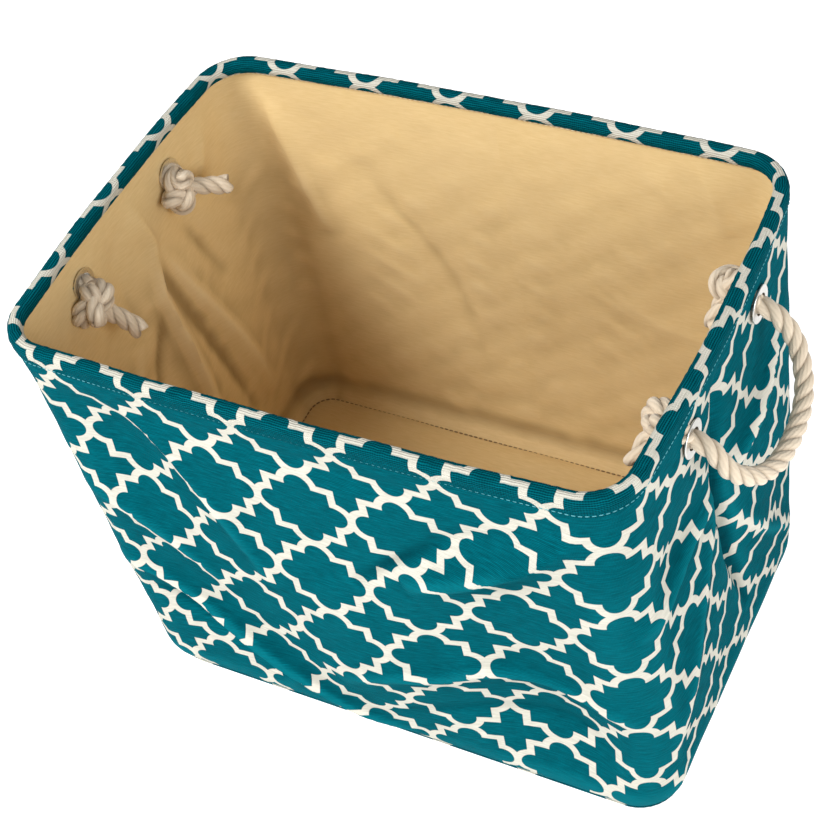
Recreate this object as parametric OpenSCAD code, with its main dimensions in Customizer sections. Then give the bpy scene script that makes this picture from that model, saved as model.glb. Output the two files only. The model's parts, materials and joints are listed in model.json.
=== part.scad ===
// Collapsible fabric storage bin: a printed cloth shell with a smooth lining, a stiff board
// in the base, a steel hoop in the top hem and two rope handles knotted behind eyelets.
// X runs along the long side, Y across it and Z up; the origin is the centre of the base.

/* [Bin] */
// Length between the rim's short sides at the corners
rim_len = 445; // [430:1:460]
// Width between the rim's long sides at the corners
rim_wid = 305; // [295:1:315]
// Height to the top of the rim
bin_h = 381; // [375:1:395]
// Length of the base, just above its rounded foot
base_len = 434; // [420:1:440]
// Width of the base, just above its rounded foot
base_wid = 276; // [266:1:286]
// Radius of the rim's corners
rim_r = 36; // [30:1:50]
// Radius of the base's corners
base_r = 32; // [28:1:38]
// How far the middle of each rim side stands out from its corners
rim_bow = 4; // [2:0.5:6]
// How far the middle of each wall is drawn in at half height
waist = 1; // [0:0.5:8]
// Height of the rounded foot where the wall turns under
foot_h = 28; // [22:1:34]
// How far the wall turns in over the foot
foot_inset = 12; // [8:1:14]

/* [Cloth] */
// Thickness of the printed outer cloth
cloth_t = 1.2; // [0.8:0.1:1.4]
// Thickness of the lining
lining_t = 0.8; // [0.5:0.1:1]
// Height of the floor panel, which hangs above the board from the lining's walls
lining_floor = 30; // [8:1:40]
// Thickness of the stiff board between the two base cloths
board_t = 3; // [2:0.5:4]
// Radius of the rolled hem round the hoop
hem_r = 5; // [4.5:0.1:5.5]
// Height of the seam line below the hem, where the folding wall ends
fold_h = 300; // [285:1:305]

/* [Hoop] */
// Diameter of the steel hoop
wire_d = 4; // [3:0.5:4.5]
// Length of the sleeve that joins the hoop's ends
sleeve_len = 40; // [30:1:50]

/* [Rope handles] */
// Diameter of the rope
rope_d = 13; // [12:0.5:13]
// Half the distance between the two eyelets of one handle
eyelet_y = 58; // [50:1:62]
// Height of the eyelets
eyelet_z = 341; // [335:1:343]
// Outer diameter of the eyelet's flange
flange_d = 26; // [24:1:28]
// Diameter of the hole through the eyelet
eyelet_bore = 15.2; // [15:0.1:15.6]
// Lean of the resting loop out from straight down
rest_lean = 32; // [20:1:40]

/* [Hidden] */
$fn = 64;
eps = 0.3;                       // clear gap between neighbouring pieces
lining_in = cloth_t + 0.4;       // inset of the lining's outer face from the cloth's
rope_r = rope_d / 2;
hem_z = bin_h - hem_r;           // height of the hoop's centre line
band_top = bin_h - 2 * hem_r - eps;
tunnel_r = wire_d / 2 + 1.3;     // bore of the hem round the hoop and its sleeve

// Heights at which the cloth's outline is worked out
side_zs = [65, 110, 155, 205, 255, fold_h];
wall_zs = concat([0.4, 3, 5.2, 8, 16, foot_h], side_zs);
lining_zs = concat([lining_floor + 0.1], side_zs);
band_zs = [fold_h + eps, fold_h + 24, eyelet_z, band_top - 12, band_top];

side_n = 6;                      // spans along each side of the outline
corner_n = 6;                    // spans round each corner

// Where the eyelets, knots and loops stand out from the middle of the short walls
wall_x = rim_len / 2 + rim_bow / 2;
flange_x = wall_x + 0.5;
flange_t = 1.4;
washer_x = wall_x - 3.9;         // outer face of the washer inside the bin
washer_t = 1.2;
barrel_r = eyelet_bore / 2 + 0.8;
hole_r = barrel_r + eps;         // hole punched in the cloths for the eyelet
knot_r = 13;
knot_x = washer_x - washer_t - knot_r - 0.2;
stub_end = flange_x + flange_t + 0.2;
hinge_x = stub_end + 0.5 + rope_r;

// Half of a loop's route at rest, as [y, distance below the eyelets along the lean]
half_route = [[58, 0], [58, 10], [56, 21], [51, 32], [43, 43], [32, 52], [18, 58], [0, 60]];
// Rounded rope ends, as [distance behind the first route point, share of the rope's radius]
cap = [[0.96, 0.2], [0.8, 0.6], [0.5, 0.86]];

function lerp(a, b, t) = a + (b - a) * t;
function foot_cut(z) = z < foot_h ? foot_inset * (1 - sqrt(1 - pow(1 - z / foot_h, 2))) : 0;
function bow_at(z) = rim_bow * pow(z / bin_h, 3) - waist * sin(180 * min(z / fold_h, 1));

// One outline of the cloth, as [height, half length, half width, corner radius, bow]
function level(z) = [z,
    lerp(base_len, rim_len, z / bin_h) / 2 - foot_cut(z),
    lerp(base_wid, rim_wid, z / bin_h) / 2 - foot_cut(z),
    lerp(base_r, rim_r, z / bin_h), bow_at(z)];
function inset(l, d) = [l[0], l[1] - d, l[2] - d, l[3] - d, l[4]];

// Points of a corner's quarter circle, and of a bowed side between two corners
function corner(c, r, a, z) = [for (i = [0:corner_n])
    [c[0] + r * cos(a + 90 * i / corner_n), c[1] + r * sin(a + 90 * i / corner_n), z]];
function side(p, q, bow, z) = let (d = (q - p) / norm(q - p)) [for (i = [1:side_n - 1])
    let (t = i / side_n, s = p + (q - p) * t + [d[1], -d[0]] * bow * 4 * t * (1 - t)) [s[0], s[1], z]];
function outline(l) = let (z = l[0], a = l[1], b = l[2], r = l[3], u = a - r, v = b - r) concat(
    side([a, -v], [a, v], l[4], z), corner([u, v], r, 0, z),
    side([u, b], [-u, b], l[4], z), corner([-u, v], r, 90, z),
    side([-a, v], [-a, -v], l[4], z), corner([-u, -v], r, 180, z),
    side([-u, -b], [u, -b], l[4], z), corner([u, -v], r, 270, z));

// Skins a list of equal rings; closed joins the last ring to the first, else the ends are capped
module skin(rings, closed) {
    n = len(rings[0]);
    k = len(rings);
    walls = [for (i = [0:closed ? k - 1 : k - 2], j = [0:n - 1])
        let (a = i * n + j, b = i * n + (j + 1) % n, c = ((i + 1) % k) * n + j,
            d = ((i + 1) % k) * n + (j + 1) % n)
        each [[a, c, d], [a, d, b]]];
    ends = closed ? [] : [[for (j = [0:n - 1]) j], [for (j = [0:n - 1]) k * n - 1 - j]];
    polyhedron([for (ring = rings) each ring], concat(walls, ends));
}

// A cloth wall of thickness t whose outer face is set in by d
module cloth_wall(zs, d, t) {
    outer = [for (z = zs) outline(inset(level(z), d))];
    inner = [for (i = [len(zs) - 1:-1:0]) outline(inset(level(zs[i]), d + t))];
    skin(concat(outer, inner), true);
}

// A flat sheet with the outline that the wall has at height z, set in by d
module flat_sheet(z, d, t) {
    l = inset(level(z), d);
    u = l[1] - l[3];
    v = l[2] - l[3];
    linear_extrude(t) {
        square([2 * l[1], 2 * v], center = true);
        square([2 * u, 2 * l[2]], center = true);
        for (x = [-u, u], y = [-v, v]) translate([x, y]) circle(l[3]);
    }
}

// A line of thread laid round the outline at height z, its centre set in by d
module thread_line(z, d, r) { skin(carried(outline(inset(level(z), d)), circle_section(r, 6)), true); }

// The hoop's line runs inside the top of the wall, in the middle of the rolled hem
hoop_in = hem_r - 0.5;
hoop_b = rim_wid / 2 + bow_at(hem_z) - hoop_in;

// Rings of a section carried along a level path; section is a list of [out, up]
function carried(path, section) = let (n = len(path)) [for (i = [0:n - 1])
    let (q = path[(i + 1) % n] - path[(i + n - 1) % n], out = [q[1], -q[0], 0] / norm(q))
    [for (s = section) path[i] + out * s[0] + [0, 0, s[1]]]];
function circle_section(r, n) = [for (i = [0:n - 1]) r * [cos(360 * i / n), sin(360 * i / n)]];

// The cloth goes up the outside, over the hoop and down inside, open underneath
function hem_section() = let (n = 14, a0 = -65, turn = 310) concat(
    [for (i = [0:n]) hem_r * [cos(a0 + turn * i / n), sin(a0 + turn * i / n)]],
    [for (i = [n:-1:0]) tunnel_r * [cos(a0 + turn * i / n), sin(a0 + turn * i / n)]]);

// Puts a child made at the right back eyelet at the eyelet on side sx, sy
module at_eyelet(sx, sy) {
    translate([0, sy * eyelet_y, eyelet_z]) rotate([0, 0, sx > 0 ? 0 : 180]) rotate([0, 90, 0]) children();
}

module outer_base() { color("teal") flat_sheet(0, eps, 1.5); }
module base_board() { color("burlywood") translate([0, 0, 1.8]) flat_sheet(1.8, 4, board_t); }
module lining_base() { color("wheat") translate([0, 0, lining_floor]) flat_sheet(lining_floor, 4, lining_t); }
module floor_thread() { color("peru") thread_line(lining_floor + lining_t + 0.7, 6.5, 0.4); }
module outer_wall() { color("teal") cloth_wall(wall_zs, 0, cloth_t); }
module lining_wall() { color("wheat") cloth_wall(lining_zs, lining_in, lining_t); }
module rim_hem() { color("teal") skin(carried(outline(inset(level(hem_z), hoop_in)), hem_section()), true); }

module upper_wall() {
    color("teal") difference() {
        cloth_wall(band_zs, 0, cloth_t);
        for (sx = [-1, 1], sy = [-1, 1]) at_eyelet(sx, sy) translate([0, 0, wall_x - 20]) cylinder(r = hole_r, h = 40);
    }
}

module upper_lining() {
    color("wheat") difference() {
        cloth_wall(band_zs, lining_in, lining_t);
        for (sx = [-1, 1], sy = [-1, 1]) at_eyelet(sx, sy) translate([0, 0, wall_x - 20]) cylinder(r = hole_r, h = 40);
    }
}

// The hoop's two ends meet at the middle of the back, inside the sleeve
module rim_wire() {
    path = outline(inset(level(hem_z), hoop_in));
    n = len(path);
    middle = side_n - 1 + corner_n + 1 + side_n / 2 - 1;
    line = [for (i = [1:n - 1]) path[(middle + i) % n]];
    rings = carried(line, circle_section(wire_d / 2, 12));
    end = [for (s = circle_section(wire_d / 2, 12)) [0, hoop_b + s[0], hem_z + s[1]]];
    inner = [for (i = [1:n - 3]) rings[i]];
    color("silver") skin(concat([[for (p = end) p - [0.5, 0, 0]]], square_end(line[0]), inner,
        square_end(line[n - 2]), [[for (p = end) p + [0.5, 0, 0]]]), false);
}
function square_end(p) = [[for (s = circle_section(wire_d / 2, 12)) [p[0], p[1] + s[0], p[2] + s[1]]]];

module wire_sleeve() {
    color("gray") translate([-sleeve_len / 2, hoop_b, hem_z]) rotate([0, 90, 0]) difference() {
        cylinder(r = wire_d / 2 + 0.9, h = sleeve_len);
        translate([0, 0, -1]) cylinder(r = wire_d / 2 + 0.3, h = sleeve_len + 2);
    }
}

module hem_thread() { color("darkcyan") thread_line(bin_h - 15, -0.5, 0.4); }
module lining_thread() { color("tan") thread_line(band_top - 2.5, lining_in + lining_t + 0.5, 0.4); }

// Rolled flange outside and a barrel that runs in through both cloths
module eyelet(sx, sy) {
    color("silver") at_eyelet(sx, sy) rotate_extrude() {
        translate([eyelet_bore / 2, washer_x - washer_t])
            square([barrel_r - eyelet_bore / 2, flange_x + flange_t - washer_x + washer_t]);
        translate([eyelet_bore / 2, flange_x]) square([flange_d / 2 - eyelet_bore / 2 - 0.7, flange_t]);
        translate([flange_d / 2 - 0.7, flange_x + 0.7]) circle(0.7, $fn = 24);
    }
}

// Flat ring that the barrel is rolled over inside the bin
module washer(sx, sy) {
    color("silver") at_eyelet(sx, sy) translate([0, 0, washer_x - washer_t]) difference() {
        cylinder(d = flange_d - 4, h = washer_t);
        translate([0, 0, -1]) cylinder(r = barrel_r + 0.1, h = washer_t + 2);
    }
}

// Overhand knot with the rope's end hanging from it, and the stub that fills the eyelet
module knot(sx, sy, tail) {
    color("linen") {
        at_eyelet(sx, sy) {
            translate([0, 0, knot_x]) sphere(knot_r);
            translate([0, 0, knot_x]) cylinder(r = rope_r - 0.2, h = stub_end - knot_x);
        }
        translate([sx * knot_x, sy * eyelet_y, eyelet_z])
            rotate([0, acos(tail[2] / norm(tail)), atan2(tail[1], tail[0])]) cylinder(d = rope_d - 2, h = norm(tail));
    }
}

// Rope loop swept along its route in the leaning plane, with rounded ends at the eyelets
module rope(sx) {
    whole = concat(half_route, [for (i = [len(half_route) - 2:-1:0]) [-half_route[i][0], half_route[i][1]]]);
    n = len(whole);
    start = [for (c = cap) [whole[0], -c[0] * rope_r, c[1] * rope_r]];
    last = [for (i = [2:-1:0]) [whole[n - 1], -cap[i][0] * rope_r, cap[i][1] * rope_r]];
    body = [for (p = whole) [p, 0, rope_r]];
    parts = concat(start, body, last);
    centre = [for (p = parts) [p[0][0], p[0][1] + p[1]]];
    m = len(parts);
    rings = [for (i = [0:m - 1])
        let (q = i < 3 ? [0, 1] : i > m - 4 ? [0, -1] : centre[i + 1] - centre[i - 1],
            out = [q[1], -q[0]] / norm(q))
        [for (a = [0:36:324]) let (y = centre[i][0] + out[0] * parts[i][2] * cos(a),
                v = centre[i][1] + out[1] * parts[i][2] * cos(a), w = parts[i][2] * sin(a))
            [hinge_x + v * sin(rest_lean) + w * cos(rest_lean), y,
                eyelet_z - v * cos(rest_lean) + w * sin(rest_lean)]]];
    color("linen") rotate([0, 0, sx > 0 ? 0 : 180]) skin(rings, false);
}

outer_base();
base_board();
lining_base();
floor_thread();
outer_wall();
lining_wall();
upper_wall();
upper_lining();
rim_hem();
rim_wire();
wire_sleeve();
hem_thread();
lining_thread();
eyelet(1, 1);  // eyelet_right_back
eyelet(1, -1);  // eyelet_right_front
eyelet(-1, 1);  // eyelet_left_back
eyelet(-1, -1);  // eyelet_left_front
washer(1, 1);  // washer_right_back
washer(1, -1);  // washer_right_front
washer(-1, 1);  // washer_left_back
washer(-1, -1);  // washer_left_front
knot(1, 1, [-8, -12, -18]);  // knot_right_back
knot(1, -1, [-8, -16, -16]);  // knot_right_front
knot(-1, 1, [19, 23, -11]);  // knot_left_back
knot(-1, -1, [18, 10, -28]);  // knot_left_front
rope(1);  // rope_right
rope(-1);  // rope_left
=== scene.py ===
"""Fabric storage bin: printed cloth over a smooth lining, a hooped rim and two rope handles."""
import json
import math
import bpy
import numpy as np
from mathutils import Matrix, Vector

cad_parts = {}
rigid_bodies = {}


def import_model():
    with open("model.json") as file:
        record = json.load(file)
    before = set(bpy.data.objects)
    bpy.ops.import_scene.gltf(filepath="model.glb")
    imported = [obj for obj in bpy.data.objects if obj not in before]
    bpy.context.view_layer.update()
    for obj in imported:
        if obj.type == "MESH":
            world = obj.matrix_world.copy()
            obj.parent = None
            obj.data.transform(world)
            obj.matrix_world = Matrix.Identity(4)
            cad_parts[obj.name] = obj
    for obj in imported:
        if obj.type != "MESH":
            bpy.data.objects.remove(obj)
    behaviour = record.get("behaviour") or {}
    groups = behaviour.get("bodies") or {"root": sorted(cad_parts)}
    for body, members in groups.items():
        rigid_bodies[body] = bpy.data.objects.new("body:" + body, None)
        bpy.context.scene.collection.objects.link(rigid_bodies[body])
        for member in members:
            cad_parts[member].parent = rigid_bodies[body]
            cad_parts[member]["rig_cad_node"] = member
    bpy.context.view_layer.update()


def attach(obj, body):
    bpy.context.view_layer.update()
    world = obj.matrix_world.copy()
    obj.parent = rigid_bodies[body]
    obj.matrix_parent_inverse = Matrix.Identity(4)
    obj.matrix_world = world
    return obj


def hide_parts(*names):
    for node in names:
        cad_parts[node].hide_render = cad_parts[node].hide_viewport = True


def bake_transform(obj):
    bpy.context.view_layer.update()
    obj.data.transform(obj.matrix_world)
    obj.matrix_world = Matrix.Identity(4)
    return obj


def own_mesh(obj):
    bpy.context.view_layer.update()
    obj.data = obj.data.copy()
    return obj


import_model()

# ------------------------------------------------------------
# Camera. It looks down into the bin over its front right corner, from about 1.25 m away,
# with a long lens, and is turned a little clockwise about its own line of sight.
camera_data = bpy.data.cameras.new("camera")
camera_data.lens = 85.3
camera_data.sensor_width = 36.0
camera = bpy.data.objects.new("camera", camera_data)
bpy.context.scene.collection.objects.link(camera)
camera_place = Vector((0.546, -0.740, 1.233))
looks_at = Vector((0.034, -0.069, 0.311))
camera_turn = (looks_at - camera_place).to_track_quat("-Z", "Y").to_matrix().to_4x4()
camera_roll = Matrix.Rotation(math.radians(-14.5), 4, "Z")
camera.matrix_world = Matrix.Translation(camera_place) @ camera_turn @ camera_roll
bpy.context.scene.camera = camera


# ------------------------------------------------------------
# Rope handles. Each is one length of natural cotton rope, three strands laid up right-handed,
# with a loop outside the short wall. Its ends go in through two eyelets to the knots inside.
ROPE_D = 0.013
LAY_LENGTH = 0.034          # one full turn of the three strands
EYELET_Y = 0.058
EYELET_Z = 0.341
HINGE_X = 0.2336            # where the loop bends down, just outside the eyelets
STRAND_OUT = 0.49           # the strands' centres from the rope's, as a share of its radius
STRAND_HALF = (0.50, 0.56)  # a strand's half thickness outwards and sideways, in the same way
LEAN = math.radians(32)     # of the hanging loop, out from straight down
# Half of the loop: distance across the wall and distance below the eyelets, along the lean
HALF_LOOP = [(0.058, 0.021), (0.056, 0.030), (0.051, 0.038), (0.043, 0.047), (0.032, 0.054),
             (0.018, 0.0585), (0.0, 0.060)]
# Half of the stretch through the eyelet: distance out and height against the eyelet
HALF_EXIT = [(0.2130, 0.0), (0.2190, 0.0), (0.2250, -0.0003), (0.2310, -0.0022), (0.2370, -0.0068),
             (0.2415, -0.0130)]


def smooth_line(points, count):
    """Points at even distances along the Catmull-Rom curve through the given points:
    each span is the cubic whose end slopes are half the step between the two neighbours."""
    p = np.asarray(points, float)
    p = np.vstack([2 * p[0] - p[1], p, 2 * p[-1] - p[-2]])
    t = np.linspace(0, 1, 24, endpoint=False)[:, None, None]
    a, b, c, d = p[:-3], p[1:-2], p[2:-1], p[3:]
    curve = 0.5 * (2 * b + (c - a) * t + (2 * a - 5 * b + 4 * c - d) * t ** 2
                   + (3 * b - a - 3 * c + d) * t ** 3)
    curve = np.vstack([curve.transpose(1, 0, 2).reshape(-1, p.shape[1]), p[-2:-1]])
    run = np.concatenate([[0], np.cumsum(np.linalg.norm(np.diff(curve, axis=0), axis=1))])
    even = np.linspace(0, run[-1], count)
    return np.stack([np.interp(even, run, curve[:, k]) for k in range(p.shape[1])], axis=1)


def unit(v):
    """Vectors divided by their own length."""
    return v / np.maximum(np.linalg.norm(v, axis=-1, keepdims=True), 1e-12)


def frames_along(path):
    """Tangent, and two cross directions carried along the path with no twist: at each step
    the last direction loses its part along the new tangent (parallel transport)."""
    tangent = unit(np.gradient(path, axis=0))
    start = np.array([0.0, 0.0, 1.0]) if abs(tangent[0][2]) < 0.8 else np.array([1.0, 0.0, 0.0])
    side = np.empty_like(path)
    last = start
    for i, t in enumerate(tangent):
        last = last - t * (last @ t)
        last = last / np.linalg.norm(last)
        side[i] = last
    return tangent, side, np.cross(tangent, side)


def new_object(mesh, material):
    """An object at the origin holding the mesh, under its name, shaded smooth."""
    piece = bpy.data.objects.new(mesh.name, mesh)
    bpy.context.scene.collection.objects.link(piece)
    mesh.polygons.foreach_set("use_smooth", np.ones(len(mesh.polygons), bool))
    mesh.materials.append(material)
    return piece


def belongs(piece, node, body=None):
    """Hides the CAD node that a piece stands for, and attaches the piece to the body it rides on if one is
    given.
    """
    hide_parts(node)
    if body:
        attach(piece, body)


def grid_mesh(name, places, uv, around=False, caps=(), holes=(), hole_r=0.0):
    """A mesh of quads over one or more grids of points, places[k] being rows x columns x 3.
    Rows run down or along, columns run round; around joins the last column to the first,
    and then uv[k] has one column more. caps are the end rows that a fan of triangles
    closes. Quads with their middle within hole_r of a point in holes are left out."""
    points, faces, corners = [], [], []
    base = 0
    for grid, coords in zip(places, uv):
        rows, cols = grid.shape[:2]
        flat = grid.reshape(-1, 3)
        i, j = np.indices((rows - 1, cols if around else cols - 1)).reshape(2, -1)
        nxt = (j + 1) % cols
        quads = np.stack([i * cols + j, (i + 1) * cols + j, (i + 1) * cols + nxt, i * cols + nxt], axis=1)
        kept = np.ones(len(quads), bool)
        for hole in holes:
            kept &= np.linalg.norm(flat[quads].mean(axis=1) - hole, axis=1) > hole_r
        corner = np.stack([coords[i, j], coords[i + 1, j], coords[i + 1, j + 1], coords[i, j + 1]], axis=1)
        faces += (quads[kept] + base).tolist()
        corners.append(corner[kept].reshape(-1, 2))
        points.append(flat)
        first, base = base, base + len(flat)
        for row in caps:
            ring = first + (rows - 1 if row else 0) * cols + np.arange(cols)[::-1 if row else 1]
            points.append(grid[row].mean(axis=0)[None])
            faces += np.stack([np.full(cols, base), ring, np.roll(ring, -1)], axis=1).tolist()
            corners.append(np.repeat(coords[row].mean(axis=0)[None], 3 * cols, axis=0))
            base += 1
    mesh = bpy.data.meshes.new(name)
    mesh.from_pydata(np.vstack(points).tolist(), [], faces)
    layer = mesh.uv_layers.new(name="UVMap")
    layer.data.foreach_set("uv", np.vstack(corners).astype(np.float32).ravel())
    mesh.update()
    return mesh


def rope_strands(path, radius, phase, spread=1.0):
    """Three strands round a path. Strand k's centre turns round the path once every lay
    length, and its own section is an ellipse flattened against its neighbours. spread is a
    factor on the strands' distance from the path, at each of its points."""
    run = np.concatenate([[0], np.cumsum(np.linalg.norm(np.diff(path, axis=0), axis=1))])
    _, side, across = frames_along(path)
    sides = 14
    round_angle = np.linspace(0, 2 * np.pi, sides, endpoint=False)
    thick = np.broadcast_to(np.asarray(radius, float), run.shape)
    apart = thick * STRAND_OUT * spread
    grids, coords = [], []
    for k in range(3):
        turn = phase + 2 * np.pi * (run / LAY_LENGTH + k / 3)
        out = side * np.cos(turn)[:, None] + across * np.sin(turn)[:, None]
        centre = path + out * apart[:, None]
        lie = unit(np.gradient(centre, axis=0))
        out = unit(out - lie * np.sum(out * lie, axis=1, keepdims=True))
        aside = np.cross(out, lie)
        ring = out[:, None] * (STRAND_HALF[0] * np.cos(round_angle))[None, :, None]
        ring = ring + aside[:, None] * (STRAND_HALF[1] * np.sin(round_angle))[None, :, None]
        grids.append(centre[:, None] + ring * thick[:, None, None])
        coords.append(np.stack(np.broadcast_arrays(np.linspace(0, 1, sides + 1)[None, :] + k,
                                                   run[:, None]), axis=2))
    return grids, coords


def node_tree(name):
    """A new node material: itself, its node tree, and its Principled shader."""
    material = bpy.data.materials.new(name)
    material.use_nodes = True
    return material, material.node_tree, material.node_tree.nodes["Principled BSDF"]


def maths(tree, operation, *values, clamp=False):
    """A Math node whose inputs are numbers or sockets; gives its output socket."""
    node = tree.nodes.new("ShaderNodeMath")
    node.operation = operation
    node.use_clamp = clamp
    for k, value in enumerate(values):
        if isinstance(value, (int, float)):
            node.inputs[k].default_value = value
        else:
            tree.links.new(value, node.inputs[k])
    return node.outputs[0]


def mixed(tree, share, one, two):
    """A colour Mix node from one to two by share; each is a colour or a socket."""
    node = tree.nodes.new("ShaderNodeMix")
    node.data_type = "RGBA"
    for socket, value in ((node.inputs[0], share), (node.inputs[6], one), (node.inputs[7], two)):
        if isinstance(value, (int, float)):
            socket.default_value = value
        elif isinstance(value, tuple):
            socket.default_value = (*value, 1.0)
        else:
            tree.links.new(value, socket)
    return node.outputs[2]


def noise(tree, vector, scale, detail=2.0, rough=0.5, stretch=None):
    """A noise texture on the given coordinates, stretched by three factors if given."""
    if stretch is not None:
        mapping = tree.nodes.new("ShaderNodeMapping")
        mapping.inputs["Scale"].default_value = stretch
        tree.links.new(vector, mapping.inputs["Vector"])
        vector = mapping.outputs[0]
    node = tree.nodes.new("ShaderNodeTexNoise")
    node.inputs["Scale"].default_value = scale
    node.inputs["Detail"].default_value = detail
    node.inputs["Roughness"].default_value = rough
    tree.links.new(vector, node.inputs["Vector"])
    return node.outputs[0]


def bump(tree, height, strength, distance, shader):
    """A Bump node from a height to the shader's normal."""
    node = tree.nodes.new("ShaderNodeBump")
    node.inputs["Strength"].default_value = strength
    node.inputs["Distance"].default_value = distance
    tree.links.new(height, node.inputs["Height"])
    tree.links.new(node.outputs[0], shader.inputs["Normal"])


def cotton_rope():
    """Cotton yarn: fine yarns run slantwise round each strand, with loose fibres, and painted shade
    on each strand's sides and inner face, in the grooves between strands."""
    material, tree, shader = node_tree("cotton_rope")
    uv = tree.nodes.new("ShaderNodeUVMap").outputs[0]
    place = tree.nodes.new("ShaderNodeTexCoord").outputs["Object"]
    split = tree.nodes.new("ShaderNodeSeparateXYZ")
    tree.links.new(uv, split.inputs[0])
    # yarn lines: nine yarns round a strand, turning once every 26 mm
    slant = maths(tree, "MULTIPLY_ADD", split.outputs[1], -1 / 0.026, split.outputs[0])
    shake = noise(tree, place, 320.0)
    slant = maths(tree, "ADD", slant, maths(tree, "MULTIPLY", shake, 0.10))
    yarn = maths(tree, "SINE", maths(tree, "MULTIPLY", slant, 2 * math.pi * 9))
    fibre = noise(tree, place, 900.0, 4.0, 0.65)
    blotch = noise(tree, place, 90.0, 3.0)
    colour = mixed(tree, maths(tree, "MULTIPLY_ADD", yarn, 0.18, 0.35, clamp=True),
                   (0.71, 0.59, 0.445), (0.55, 0.435, 0.30))
    bleached = maths(tree, "MULTIPLY", blotch, 0.45, clamp=True)
    colour = mixed(tree, bleached, colour, (0.77, 0.68, 0.54))
    # painted shade: each strand is darkened on its sides and inner face, in the grooves between strands
    outward = maths(tree, "SUBTRACT", maths(tree, "FRACT", split.outputs[0]), 0.5)
    outward = maths(tree, "ABSOLUTE", outward)
    groove = maths(tree, "MULTIPLY_ADD", outward, -6.0, 2.25, clamp=True)
    colour = mixed(tree, maths(tree, "MULTIPLY", groove, 0.88), colour, (0.26, 0.19, 0.12))
    tree.links.new(colour, shader.inputs["Base Color"])
    shader.inputs["Roughness"].default_value = 0.92
    shader.inputs["Sheen Weight"].default_value = 0.25
    shader.inputs["Sheen Roughness"].default_value = 0.6
    height = maths(tree, "MULTIPLY_ADD", fibre, 0.5, maths(tree, "MULTIPLY", yarn, 0.35))
    bump(tree, height, 0.55, 0.0006, shader)
    return material


rope_look = cotton_rope()


def handle_route(sx):
    """The route of one handle from its back eyelet round the loop to its front one."""
    exit_half = [(x, EYELET_Y, EYELET_Z + z) for x, z in HALF_EXIT]
    loop_half = [(HINGE_X + v * math.sin(LEAN), y, EYELET_Z - v * math.cos(LEAN)) for y, v in HALF_LOOP]
    half = exit_half + loop_half
    whole = half + [(x, -y, z) for x, y, z in half[-2::-1]]
    return np.array(whole) * [sx, 1, 1]


handles = {}
for side_name, sx in (("right", 1), ("left", -1)):
    route = smooth_line(handle_route(sx), 190)
    grids, coords = rope_strands(route, ROPE_D / 2, phase=0.6 * sx)
    mesh = grid_mesh(f"rope_loop_{side_name}", grids, coords, around=True, caps=(0, -1))
    rope = new_object(mesh, rope_look)
    belongs(rope, f"rope_{side_name}")
    handles[side_name] = (rope, route)


# ------------------------------------------------------------
# Printed outer cloth, below the band. One wrap of woven polyester with an off-white lattice
# printed on teal. It is sewn to the base, and it hangs in soft swells and sharp folds that
# the bin's flat packing left in it. The lining behind it follows the same folds.
BIN_H = 0.381
RIM_HALF = (0.2225, 0.1525)         # half length and half width at the rim's corners
BASE_HALF = (0.2170, 0.1380)
RIM_R, BASE_R = 0.036, 0.032        # corner radii
RIM_BOW, WAIST = 0.004, 0.001       # how far the sides bow out at the rim, and draw in below
FOLD_H = 0.300                      # where the folding wall ends and the hooped band begins
FOOT_H, FOOT_IN = 0.028, 0.012      # the cloth rounds in to the base: over what height, how far
CLOTH_T = 0.0009
SEAM_Z = 0.366                      # stitch line below the hem
LINING_IN = 0.0024                  # the lining's face, in from the cloth's
PRINT_REPEAT = 0.070
PRINT_KEPT = 0.45                   # beyond this, the print stretches to whole tiles at the back
# A tile's middle lies on the seam, 2 mm left of the front's middle
PRINT_SHIFT = (0.5 + 0.002 / PRINT_REPEAT, 0.5)

# Swells: wall, place along it, height, reach along, reach up, how far out (mm)
SWELLS = [
    ("front", 0, 170, 92, 98, 17), ("front", -5, 98, 48, 42, 7), ("front", 72, 250, 42, 40, 5),
    ("front", -145, 300, 46, 52, -12), ("front", 142, 92, 52, 56, -14), ("front", 140, 165, 42, 40, -5),
    ("front", -150, 120, 40, 40, -5), ("front", 0, 345, 190, 13, -5),
    ("right", -75, 250, 50, 40, -7), ("right", 62, 180, 50, 60, 6), ("right", -70, 110, 50, 50, 5),
    ("right", 0, 345, 90, 13, -2), ("back", 0, 110, 150, 90, 7), ("back", -120, 250, 60, 60, -3),
    ("left", 60, 150, 50, 70, -6), ("left", -60, 190, 45, 70, 4)]
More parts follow.
